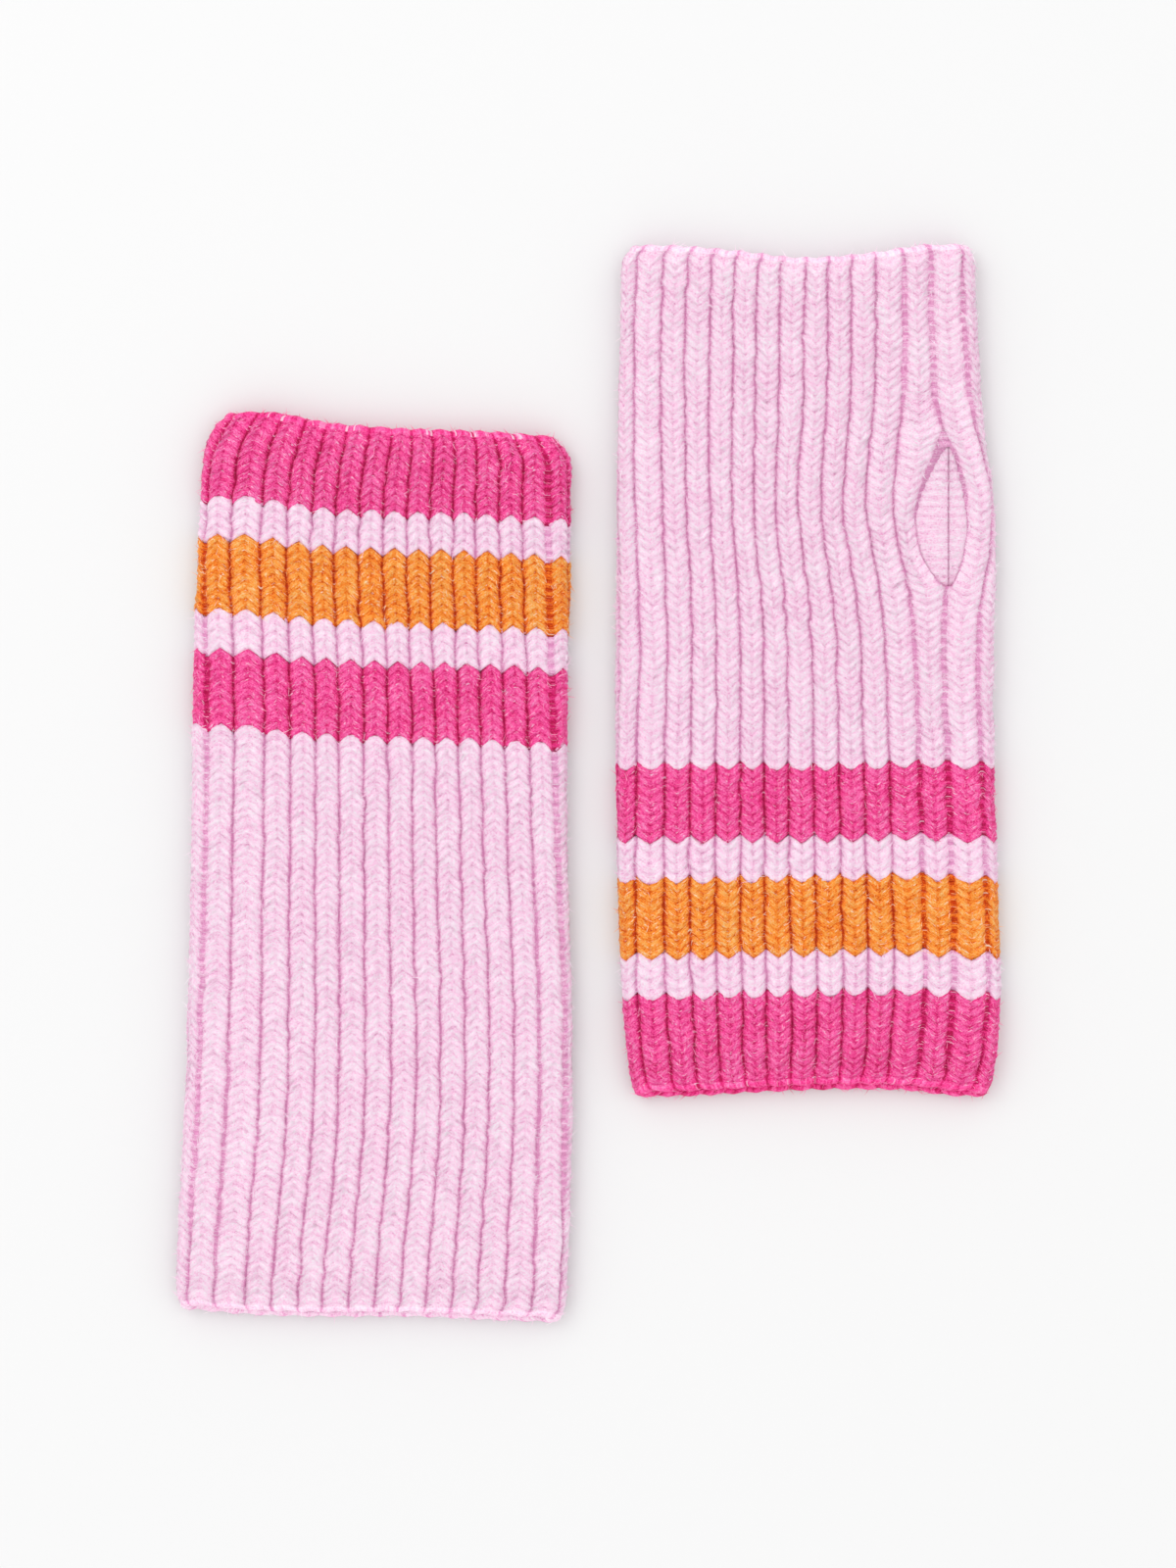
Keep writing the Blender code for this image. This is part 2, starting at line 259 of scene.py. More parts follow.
RIGHT = Warmer(
    name="right",
    sections=(
        Section(-75, 10.3, 96.4),
        Section(-65, 9.2, 97.5),
        Section(-52, 8.0, 98.4),
        Section(-30, 7.1, 97.8),
        Section(0, 6.6, 97.0),
        Section(35, 6.7, 96.8),
        Section(60, 6.8, 97.2),
        Section(72, 6.8, 96.3),
        Section(85, 7.0, 94.5),
        Section(105, 7.4, 93.2),
        Section(125, 7.9, 92.2),
    ),
    far_edge=(
        Edge(0, 128.2),
        Edge(0.1, 128.2),
        Edge(0.3, 127.0),
        Edge(0.5, 125.3),
        Edge(0.7, 126.3),
        Edge(0.88, 128.3),
        Edge(1, 128.4),
    ),
    near_edge=(
        Edge(0, -74.6),
        Edge(0.15, -74.4),
        Edge(0.35, -73.5),
        Edge(0.6, -72.8),
        Edge(0.8, -73.2),
        Edge(0.92, -74.4),
        Edge(1, -74.5),
    ),
    corners={
        "far_left": Corner(4.5, 5),
        "far_right": Corner(2.5, 3.5),
        "near_left": Corner(2.5, 3),
        "near_right": Corner(3, 4),
    },
    cuff=-1,
    bands=(
        Band("cuff", "magenta", 23.5, 11),
        Band("pale_stripe_a", "pink", 9.4, 4),
        Band("orange_stripe", "orange", 17.9, 8),
        Band("pale_stripe_b", "pink", 9.4, 4),
        Band("magenta_stripe", "magenta", 17.2, 8),
        Band("body", "pink", 121.7, 57),
    ),
    thumb_layer="front",
    thumb_x=85.8,
    thumb_y=63.6,
    rib_widths=(1.12, 1.0, 1.0, 0.97, 0.95, 0.97, 1.0, 1.0, 0.98, 1.0, 1.2, 1.12, 1.35),
    drifts=(
        Drift(-75, 0.040, 0.950, 0.0, 1.0),
        Drift(-45, 0.042, 0.966, 0.0, 1.0),
        Drift(-5, 0.052, 0.966, 0.0, 1.0),
        Drift(32, 0.062, 0.953, 0.0, 0.85),
        Drift(63, 0.050, 0.960, 0.0, 0.8),
        Drift(105, 0.041, 0.959, 0.0, 0.8),
        Drift(127, 0.045, 0.965, 0.0, 0.75),
    ),
    opens=(
        Open(11, 85, 125, 0.8),
        Open(12, 82, 126, 0.9),
        Open(13, 80, 120, 0.8),
        Open(11, -72, 45, 0.5),
        Open(12, -70, 46, 0.8),
        Open(13, -65, 42, 0.6),
    ),
    back_ribs=18,
)
THUMB_VALLEY = 12  # the valley between the front ribs of the right warmer that the slit lies in
THUMB_SPREAD = 14.0  # how far along from the middle of the slit its neighbours are pushed aside
THUMB_PUSH_AWAY = 5.9
THUMB_PUSH_FOLD = 3.2
THUMB_LEAN = 1.3  # ribs farther from the slit are pushed less, by this power of their rank
SLIT_REACH = 1.3  # the slit's valley is straight over this share more than its neighbours' push
HIDDEN_PUSH = 0.6  # share of the push towards the fold that ribs of a hidden layer get
FOLD_MARGIN = 0.05  # no valley of the front comes nearer to a fold


def smooth(rows, name, at):
    """A smooth curve through a short table's column, read at many places along."""
    places = np.array([row[0] for row in rows], float)
    values = np.array([getattr(row, name) for row in rows], float)
    at = np.clip(at, places[0], places[-1])
    slopes = np.gradient(values, places)
    i = np.clip(np.searchsorted(places, at, side="right") - 1, 0, len(places) - 2)
    span = places[i + 1] - places[i]
    t = (at - places[i]) / span
    return (
        (2 * t**3 - 3 * t**2 + 1) * values[i]
        + (t**3 - 2 * t**2 + t) * span * slopes[i]
        + (3 * t**2 - 2 * t**3) * values[i + 1]
        + (t**3 - t**2) * span * slopes[i + 1]
    )


def corner_inset(corner, distance):
    """How far a rounded corner takes the side in, at distances from the end."""
    near = np.clip(1 - distance / corner.along, 0, 1)
    return corner.across * (1 - np.sqrt(np.clip(1 - near**2, 0, 1)))


def sides(warmer, up):
    """The left and right side at shares of the length from the near end, with the corners rounded."""
    found = []
    for share, side, inward in ((0.0, "left", 1), (1.0, "right", -1)):
        near = smooth(warmer.near_edge, "along", share)
        far = smooth(warmer.far_edge, "along", share)
        along = near + (far - near) * up
        inset = corner_inset(warmer.corners[f"near_{side}"], along - near)
        inset = inset + corner_inset(warmer.corners[f"far_{side}"], far - along)
        found.append(smooth(warmer.sections, side, along) + inward * inset)
    return found


TURNS = np.linspace(0, math.pi / 2, 65)
SHOULDER_X = FOLD_REACH * (1 - np.cos(TURNS))
SHOULDER_Z = MIDDLE * np.sin(TURNS)
SHOULDER_ARC = np.concatenate([[0], np.cumsum(np.hypot(np.diff(SHOULDER_X), np.diff(SHOULDER_Z)))])
QUARTER = SHOULDER_ARC[-1]


def arc_from_x(x, width):
    """Distance over the front of the tube from its left fold, for a place seen from above."""
    left = np.interp(x, SHOULDER_X, SHOULDER_ARC) + np.maximum(x - FOLD_REACH, 0)
    right = np.interp(width - x, SHOULDER_X, SHOULDER_ARC) + np.maximum(width - x - FOLD_REACH, 0)
    whole = 2 * QUARTER + width - 2 * FOLD_REACH
    return np.where(x < width / 2, left, whole - right)


def place_on_tube(arc, width):
    """(x, z, outward x, outward z) at distances round the tube, from the left fold over the front."""
    front = 2 * QUARTER + width - 2 * FOLD_REACH
    arc = np.mod(arc, 2 * front)
    behind = arc > front
    arc = np.where(behind, 2 * front - arc, arc)
    on_right = arc > front / 2
    near_fold = np.where(on_right, front - arc, arc)
    turn = np.interp(near_fold, SHOULDER_ARC, TURNS)
    x = FOLD_REACH * (1 - np.cos(turn)) + np.maximum(near_fold - QUARTER, 0)
    out_x, out_z = -np.cos(turn) / FOLD_REACH, np.sin(turn) / MIDDLE
    length = np.hypot(out_x, out_z)
    x = np.where(on_right, width - x, x)
    out_x = np.where(on_right, -out_x, out_x) / length
    flip = np.where(behind, -1, 1)
    return x, flip * MIDDLE * np.sin(turn), out_x, flip * out_z / length


def lobe(bulge, inset, t):
    """How far one side of the thumb opening reaches out from the slit, from 0, its hand end, to 1."""
    out = bulge * np.sin(math.pi * np.clip(t, 0, 1) ** LIP_SKEW) ** LIP_BLUNT
    return np.maximum(out - inset, 0)


def valley_lines(warmer, along, width):
    """The middles and half widths of all the valleys round the tube, for rows at places along."""
    widths = np.array(warmer.rib_widths)
    ease = np.concatenate([[0], np.cumsum(widths)]) / widths.sum()
    first = smooth(warmer.drifts, "first", along)[:, None]
    last = smooth(warmer.drifts, "last", along)[:, None]
    bow = smooth(warmer.drifts, "bow", along)[:, None]
    share = first + (last - first) * ease + bow * 4 * ease * (1 - ease)
    on_front = warmer.thumb_layer == "front"
    push = np.exp(-(((along - warmer.thumb_y) / THUMB_SPREAD) ** 2) / 2)
    t = 0.5 + (along - warmer.thumb_y) * warmer.cuff / THUMB_LENGTH
    inside = (t > 0) & (t < 1)
    wide = np.where(inside, lobe(LIP_WIDE, 0, t), 0)
    narrow = np.where(inside, lobe(LIP_NARROW, 0, t), 0)
    x = share * width[:, None]
    if on_front:
        rank = np.arange(share.shape[1])
        lean = (rank / (THUMB_VALLEY - 1.0)) ** THUMB_LEAN
        shift = np.where(rank < THUMB_VALLEY, -THUMB_PUSH_AWAY * lean, 0.0)
        shift[THUMB_VALLEY + 1 :] = THUMB_PUSH_FOLD
        x = x + push[:, None] * shift
        left_side = smooth(warmer.sections, "left", along)
        slit = warmer.thumb_x - left_side
        pull = np.exp(-(((along - warmer.thumb_y) / (THUMB_SPREAD * SLIT_REACH)) ** 4))
        x[:, THUMB_VALLEY] += (slit - x[:, THUMB_VALLEY]) * pull
    on_tube = np.clip(x, FOLD_MARGIN, width[:, None] - FOLD_MARGIN)
    front_arc = arc_from_x(on_tube, width[:, None])
    whole = 2 * (2 * QUARTER + width - 2 * FOLD_REACH)[:, None]
    back_share = np.arange(1, warmer.back_ribs) / warmer.back_ribs
    back_arc = front_arc[:, -1:] + (whole + front_arc[:, :1] - front_arc[:, -1:]) * back_share
    arcs = np.concatenate([front_arc, back_arc], axis=1)
    half_left = np.full(arcs.shape, VALLEY_WIDTH / 2)
    half_right = half_left.copy()
    for gap in warmer.opens:
        fade = np.clip((along - gap.start) / OPEN_FADE, 0, 1)
        fade = fade * np.clip((gap.end - along) / OPEN_FADE, 0, 1)
        for half in (half_left, half_right):
            half[:, gap.valley] += gap.width / 2 * fade
    if on_front:
        half_left[:, THUMB_VALLEY] = np.maximum(half_left[:, THUMB_VALLEY], wide)
        half_right[:, THUMB_VALLEY] = np.maximum(half_right[:, THUMB_VALLEY], narrow)
    else:
        # The slit is in the back layer: the nearest valley there is moved to it, its neighbours aside.
        left_side = smooth(warmer.sections, "left", along)
        slit_arc = whole[:, 0] - arc_from_x(warmer.thumb_x - left_side, width)
        middle_row = np.argmin(abs(along - warmer.thumb_y))
        valley = int(np.argmin(abs(arcs[middle_row] - slit_arc[middle_row])))
        pull = np.exp(-(((along - warmer.thumb_y) / (THUMB_SPREAD * SLIT_REACH)) ** 4))
        arcs[:, valley] += (slit_arc - arcs[:, valley]) * pull
        first_back = share.shape[1]
        reach = np.arange(first_back, valley)
        lean = ((reach - first_back + 1) / (valley - first_back)) ** THUMB_LEAN
        arcs[:, first_back:valley] -= push[:, None] * THUMB_PUSH_AWAY * lean
        arcs[:, valley + 1 :] += push[:, None] * THUMB_PUSH_FOLD * HIDDEN_PUSH
        half_left[:, valley] = np.maximum(half_left[:, valley], wide)
        half_right[:, valley] = np.maximum(half_right[:, valley], narrow)
    return arcs, half_left, half_right, whole[:, 0]


def columns_round(warmer):
    """For each column of the mesh: its rib, and how far across that rib it lies. A rib's last column
    and the next rib's first one are the two sides of the valley between them."""
    front = len(warmer.rib_widths)
    ribs, across = [], []
    for rib in range(front + warmer.back_ribs):
        steps = RIB_STEPS_FRONT if rib < front else RIB_STEPS_BACK
        ribs += [rib] * len(steps)
        across += steps
    return np.array(ribs), np.array(across, float)


def wobble(rng, count, smoothness):
    """A smooth random line, -1 to 1 or so, with one value for each of count places."""
    raw = rng.normal(size=count + 8 * smoothness)
    kernel = np.hanning(2 * smoothness + 3)
    line = np.convolve(raw, kernel / np.sqrt((kernel**2).sum()), mode="same")
    return line[4 * smoothness : 4 * smoothness + count]


def knit_shell(warmer, band, low, high, total, before, rng):
    """The rows and columns of one band's closed shell: places in metres, and for the material each
    column's rib, each row's course, each point's depth and whether a row is outside. The band lies
    between the shares low and high of the warmer's total length, with so many courses before it."""
    open_low, open_high = low < 1e-6, high > 1 - 1e-6
    courses = band.courses
    course = np.linspace(0, courses, courses * ROWS_A_COURSE + 1)
    up = low + (high - low) * course / courses
    rib, f = columns_round(warmer)
    rib_count = rib.max() + 1
    left, right = sides(warmer, up)
    width = right - left
    near_mid = smooth(warmer.near_edge, "along", 0.5)
    far_mid = smooth(warmer.far_edge, "along", 0.5)
    along_mid = near_mid + (far_mid - near_mid) * up
    arcs, half_left, half_right, whole = valley_lines(warmer, along_mid, width)

    stray = rng.normal(size=(courses + 2, rib_count)) * STRAY
    beside = np.floor(course + 0.5).astype(int)
    between = (course + 0.5 - beside)[:, None]
    arcs = arcs + stray[beside] + (stray[beside + 1] - stray[beside]) * between
    start = arcs[:, rib] + half_right[:, rib]
    next_rib = (rib + 1) % rib_count
    lap = np.where(next_rib == 0, whole[:, None], 0)
    end = arcs[:, next_rib] + lap - half_left[:, next_rib]
    arc = start + (end - start) * f
    x, z, out_x, out_z = place_on_tube(arc, width[:, None])

    # The rib's round crown, the line down its middle, and the swelling of each leg of each stitch.
    rib_width = np.maximum(end - start, 0.5)
    side = 1 - abs(2 * f - 1)
    from_valley = side * rib_width / 2
    short_of_crown = 1 - np.clip(from_valley / RIB_SHOULDER, 0, 1)
    crown = np.sqrt(np.clip(1 - short_of_crown**CROWN_POWER, 0, 1))
    groove = np.exp(-(((f - 0.5) / GROOVE_WIDTH) ** 2))
    crisp = smooth(warmer.drifts, "crisp", along_mid)[:, None]
    phase = course[:, None] + rng.normal(size=rib_count)[rib] * COURSE_STRAY
    beat = SWELL_LEAST + (1 - SWELL_LEAST) * np.abs(np.sin(math.pi * phase)) ** 0.6
    stitch = np.clip(np.floor(course).astype(int), 0, courses - 1)
    leg = rib * 2 + (f > 0.5)
    leg_size = 1 + LEG_VARIETY * rng.normal(size=(courses, rib_count * 2))
    swell = LEG_SWELL * crisp * leg_size[stitch][:, leg] * np.clip(side * 3, 0, 1)
    rise = RIB_DEPTH * (crown - 1) - MIDDLE_GROOVE * crisp * groove + swell * (beat - SWELL_LEVEL)
    rise = rise + NAP * rng.normal(size=(len(course), len(f)))

    # In a valley that is pulled open, the purl bars behind it show as a ladder.
    in_valley = f * (1 - f) == 0
    gaps = half_left + half_right
    valley_open = np.where(f == 0, gaps[:, rib], gaps[:, next_rib])
    slack = np.clip(valley_open - LADDER_FROM, 0, LADDER_MOST) * (valley_open < LADDER_WIDEST)
    purl = PURL_SWELL * np.cos(2 * math.pi * (phase + 0.3)) + 0.5
    rise = np.where(in_valley, rise + purl * slack, rise)
    sink = np.array([wobble(rng, len(course), 12) for _ in range(rib_count)]).T * RIB_SINK
    rise = rise + sink[:, rib]

    # Rib relief dies out towards an open end, where the cast-on or cast-off edge binds the ribs.
    in_low = (up - low) * total if open_low else np.full(len(up), 99.0)
    in_high = (high - up) * total if open_high else np.full(len(up), 99.0)
    to_end = np.minimum(in_low, in_high)[:, None]
    bind = np.clip((to_end - BIND_START) / BIND_REACH, 0, 1)
    rise = rise * (BIND_RELIEF + (1 - BIND_RELIEF) * bind) - BIND_SINK * (1 - bind)

    # Courses run as chevrons over each rib, with their tips towards the cuff.
    tip = band_tip(band, warmer, course, courses)
    chevron = CHEVRON * (1 - np.abs(2 * f - 1) ** tip[:, None] - 0.5) * warmer.cuff
    flatten = np.clip(to_end / FLATTEN_REACH, 0, 1) ** 1.5
    share = np.clip(x / width[:, None], 0, 1)
    near = smooth(warmer.near_edge, "along", share)
    far = smooth(warmer.far_edge, "along", share)
    lift = np.clip(z / MIDDLE, 0, 1)
    scallop = SCALLOP * (crown - 0.6) * (1 - flatten)
    in_from_end = (far - near) * up[:, None]
    y = near + in_from_end + HEM_PEEK * lift * np.clip(1 - in_from_end / PEEK_REACH, 0, 1)
    y = y + chevron * flatten + scallop * np.where(in_high < in_low, 1, -1)[:, None]

    outer = np.stack([left[:, None] + x + out_x * rise, y, MIDDLE + z + out_z * rise], axis=-1)
    outer[..., 2] = np.maximum(outer[..., 2], LEAST_HEIGHT)

    # The plain inner face follows the same columns, a wall's thickness in.
    in_x = WALL + INNER_CLEAR + x * (1 - 2 * (WALL + INNER_CLEAR) / width[:, None])
    in_z = HOLLOW / 2 * z / MIDDLE
    inner = np.stack([left[:, None] + in_x, y, MIDDLE + in_z], axis=-1)

    # The depth that the material paints as shade: the sides of each rib and the line down its middle are
    # painted darker, the valley floors darkest, and the purl bars in an open valley a little paler than
    # the floor.
    depth = np.clip(crown - GROOVE_PAINTED_SHADE * crisp * groove, 0, 1)
    depth = np.where(in_valley, slack * 0.5 * np.clip(purl, 0, 1), depth)
    depth = np.broadcast_to(depth, outer.shape[:2])
    rows, hints = [], []
    last = len(course) - 1
    rim_rows = round(RIM / ((high - low) * total / last))
    first_row = rim_rows if open_low else 0
    last_row = last - rim_rows if open_high else last
    for row in range(first_row, last_row + 1):
        rows.append(outer[row])
        hints.append((course[row], depth[row], 1.0))
    if open_high:
        faces = outer[last_row], inner[last_row]
        rows_of_rim(rows, hints, *faces, 1, course[last_row], depth[last_row])
    coarse = np.linspace(first_row, last_row, max(3, courses // 3)).round().astype(int)
    for row in np.unique(coarse)[::-1]:
        rows.append(inner[row])
        hints.append((course[row], np.full(len(rib), INNER_PAINTED_SHADE), 0.0))
    if open_low:
        faces = inner[first_row], outer[first_row]
        rows_of_rim(rows, hints, *faces, -1, course[first_row], depth[first_row])
    places = np.array(rows) * MM
    courses_at = np.array([hint[0] for hint in hints]) + before
    depths = np.array([hint[1] for hint in hints])
    outside = np.array([hint[2] for hint in hints])
    return places, rib + f, courses_at, depths, outside


SHARP_TIP = 1.15
BLUNT_TIP = 2.1
BLUNT_COURSES = 3


def band_tip(band, warmer, course, courses):
    """How pointed the chevrons are, course by course: the pale wool is fuller, so that it ends in
    round lobes over the next band's colour, and sharp points everywhere else."""
    if band.yarn != "pink":
        return np.full(len(course), SHARP_TIP)
    towards_cuff = course / courses if warmer.cuff > 0 else 1 - course / courses
    blunt = np.clip(1 - (1 - towards_cuff) * courses / BLUNT_COURSES, 0, 1)
    return SHARP_TIP + (BLUNT_TIP - SHARP_TIP) * blunt


def rows_of_rim(rows, hints, one, other, way, course, depth):
    """Adds the rows that turn round an open end, from one face of the wall to the other."""
    middle, half = (one + other) / 2, (one - other) / 2
    for degrees in RIM_TURNS[1:-1]:
        turn = math.radians(degrees)
        row = middle + half * math.cos(turn)
        row[:, 1] += way * RIM * math.sin(turn)
        rows.append(row)
        # The rows round the rim are painted a little darker, as painted shade where the knit turns away.
        hints.append((course, depth * 0.8, 1.0))


def note_on_points(mesh, title, values):
    """Keeps one number for each point of a mesh, for its material and its nap."""
    layer = mesh.attributes.new(title, "FLOAT", "POINT")
    layer.data.foreach_set("value", np.ascontiguousarray(values, np.float32).ravel())


def lay_map(mesh, u, v):
    """Lays the map of the knit, in millimetres across and along the ribs."""
    mesh.uv_layers[0].name = "knit"
    mesh.uv_layers["knit"].data.foreach_set("uv", np.stack([u, v], 1).astype(np.float32).ravel())


def face_outward(obj, merge_within=None):
    """Merges points that coincide where asked, turns all faces outward and smooths them."""
    bpy.ops.object.mode_set(mode="EDIT")
    bpy.ops.mesh.select_all(action="SELECT")
    if merge_within:
        bpy.ops.mesh.remove_doubles(threshold=merge_within)
    bpy.ops.mesh.normals_make_consistent(inside=False)
    bpy.ops.object.mode_set(mode="OBJECT")
    bpy.ops.object.shade_smooth()
    return obj


def shell_object(name, places, across, courses_at, depths, outside):
    """Turns rows and columns into one closed mesh: a grid is added at that count, put in place, and its
    opposite edges are merged."""
    row_count, column_count = places.shape[:2]
    bpy.ops.object.select_all(action="DESELECT")
    bpy.ops.mesh.primitive_grid_add(x_subdivisions=column_count, y_subdivisions=row_count, size=1)
    obj = bpy.context.object
    obj.name = name
    obj.data.name = name
    mesh = obj.data
    rows = np.arange(row_count + 1) % row_count
    columns = np.arange(column_count + 1) % column_count
    place = places[rows][:, columns].reshape(-1, 3)
    mesh.vertices.foreach_set("co", place.astype(np.float32).ravel())
    # The depth is painted as shade by the material, darker the deeper a point lies.
    note_on_points(mesh, "depth", depths[rows][:, columns])
    note_on_points(mesh, "outside", np.repeat(outside[rows], column_count + 1))
    vertex = np.empty(len(mesh.loops), np.int64)
    mesh.loops.foreach_get("vertex_index", vertex)
    u = np.append(across, across.max() + 0.01)[vertex % (column_count + 1)] * RIB_MAP
    v_rows = np.append(courses_at, courses_at[-1])
    v = v_rows[vertex // (column_count + 1)] * COURSE_MAP
    lay_map(mesh, u, v)
    mesh.update()
    return face_outward(obj, merge_within=1e-7)


# Tones of each yarn from the darkest to the palest, and its flecks' colour and strength. The darker tones
# serve partly as painted shade in the valleys and creases, and partly for the yarn's own uneven colour.
Yarn = namedtuple("Yarn", "dark deep middle light pale fleck flecks")
YARNS = {
    "pink": Yarn("#EA9CCB", "#F8BEE0", "#FFD6EE", "#FFE3F5", "#FFF0FA", "#FFF8FD", 0.6),
    "magenta": Yarn("#C01055", "#E6287A", "#F94898", "#FF66AC", "#FF92C8", "#FFD2EA", 0.85),
    "orange": Yarn("#CE3C00", "#F26C14", "#FF9230", "#FFAA4C", "#FFC880", "#FFEED4", 0.85),
}
RIB_MAP = 5.8  # millimetres that the map gives to a rib
COURSE_MAP = 2.15  # and to a course
CREST_TONE = 0.62  # tone of a stitch's crest, where 0 is the darkest of the yarn and 1 the palest
VALLEY_PAINTED_SHADE = 0.62  # painted shade: how much darker the floor of a valley is painted
COURSE_PAINTED_SHADE = 0.26  # painted shade: how much darker the crease between two courses is painted
SWELL_MEAN = 0.64
HAIR_TONE = 1.7  # contrast of the hairs along a leg
NAP_TONE = 1.5  # of the fine nap
MOTTLE_TONE = 0.7  # of the broad, soft mottling
BUMP_HEIGHT = 0.6 * MM
FLECK_FROM, FLECK_TO = 0.64, 0.72  # the noise's levels between which a fleck fades in


def tone_ramp(tree, tones):
    """A colour ramp with tones at even steps."""
    ramp = add_node(tree, "ShaderNodeValToRGB")
    stops = ramp.color_ramp.elements
    while len(stops) < len(tones):
        stops.new(0.5)
    for i, tone in enumerate(tones):
        stops[i].position = i / (len(tones) - 1)
        stops[i].color = linear(tone)
    return ramp


def wool(name, yarn):
    """Brushed melange wool, knitted. The eye sees a matt, soft-edged surface with painted light and
    shade: paler on the crests where the fibres stand up, painted deeper and redder in the shade between
    the ribs and stitches, with short pale strokes of the lighter fibre that was carded into the yarn,
    and a grain of fine hairs along each stitch's leg."""
    material, shader = new_material(f"brushed_{name}_wool_knit")
    tree = material.node_tree
    knit = add_node(tree, "ShaderNodeUVMap", {"uv_map": "knit"}).outputs[0]
    depth = add_node(tree, "ShaderNodeAttribute", {"attribute_name": "depth"}).outputs["Fac"]
    where = add_node(tree, "ShaderNodeTexCoord").outputs["Object"]

    def noise(space, scale, stretch=(1, 1, 1), detail=2.0, roughness=0.6):
        """A noise, as coarse as 1/scale, in stretched coordinates."""
        laid = add_node(tree, "ShaderNodeMapping", {}, {"Vector": space, "Scale": stretch}).outputs[0]
        settings = {"Vector": laid, "Scale": scale, "Detail": detail, "Roughness": roughness}
        return add_node(tree, "ShaderNodeTexNoise", {}, settings).outputs["Fac"]

    def sum_of(first, factor, second):
        """first times factor, plus second."""
        values = {0: first, 1: factor, 2: second}
        return add_node(tree, "ShaderNodeMath", {"operation": "MULTIPLY_ADD"}, values).outputs[0]

    # Hairs along a leg are about 0.3 mm apart and lie 1 to 2 mm long; the nap between them is finer.
    hairs = noise(knit, 1.0, (0.9, 3.4, 1), 3.0, 0.65)
    nap = noise(where, 2400, detail=2.0, roughness=0.7)
    mottle = noise(where, 130, detail=3.0)
    # Where one course lies on the next there is a line of painted shade, which wanders as the yarn does.
    course_line = add_node(tree, "ShaderNodeSeparateXYZ", {}, {0: knit}).outputs["Y"]
    wander = noise(knit, 0.45, (1, 1, 1), 2.0)
    turned = sum_of(course_line, math.pi / COURSE_MAP, sum_of(wander, 1.6, -0.8))
    swing = add_node(tree, "ShaderNodeMath", {"operation": "SINE"}, {0: turned}).outputs[0]
    swell = add_node(tree, "ShaderNodeMath", {"operation": "ABSOLUTE"}, {0: swing}).outputs[0]

    # The tone on the yarn's ramp: the depth attribute paints shade into the valleys, the groove and the
    # sides of each rib, the course line paints shade into the creases between courses, and the hairs, nap
    # and mottle vary it at random.
    start = CREST_TONE - VALLEY_PAINTED_SHADE - COURSE_PAINTED_SHADE * SWELL_MEAN
    level = sum_of(depth, VALLEY_PAINTED_SHADE, start - 0.5 * (HAIR_TONE + NAP_TONE + MOTTLE_TONE))
    level = sum_of(swell, COURSE_PAINTED_SHADE, level)
    level = sum_of(hairs, HAIR_TONE, level)
    level = sum_of(nap, NAP_TONE, level)
    level = sum_of(mottle, MOTTLE_TONE, level)
    ramp = tone_ramp(tree, (yarn.dark, yarn.deep, yarn.middle, yarn.light, yarn.pale))
    held = add_node(tree, "ShaderNodeMapRange", {}, {"Value": level})
    tree.links.new(held.outputs[0], ramp.inputs["Fac"])
    specks = noise(knit, 1.0, (0.75, 2.3, 1), 1.0)
    picked = {"Value": specks, "From Min": FLECK_FROM, "From Max": FLECK_TO, "To Max": yarn.flecks}
    chosen = add_node(tree, "ShaderNodeMapRange", {}, picked).outputs[0]
    mixed = {0: chosen, 6: ramp.outputs["Color"], 7: linear(yarn.fleck)}
    colour = add_node(tree, "ShaderNodeMix", {"data_type": "RGBA"}, mixed).outputs[2]
    tree.links.new(colour, shader.inputs["Base Color"])
    relief = sum_of(hairs, 1.0, sum_of(nap, 0.8, sum_of(swell, 0.5, 0.0)))
    raised = {"Height": relief, "Strength": 0.9, "Distance": BUMP_HEIGHT}
    bump = add_node(tree, "ShaderNodeBump", {}, raised)
    tree.links.new(bump.outputs[0], shader.inputs["Normal"])
    shader.inputs["Roughness"].default_value = 1.0
    shader.inputs["Specular IOR Level"].default_value = 0.1
    shader.inputs["Sheen Weight"].default_value = 0.12
    shader.inputs["Sheen Roughness"].default_value = 0.5
    return material


WOOLS = {name: wool(name, yarn) for name, yarn in YARNS.items()}

CUTTER_STEPS = 40
CUTTER_INSET = 0.25  # the cut is this much smaller than the lips all round
CUTTER_OVER = 3  # how far the cutter reaches past the knit


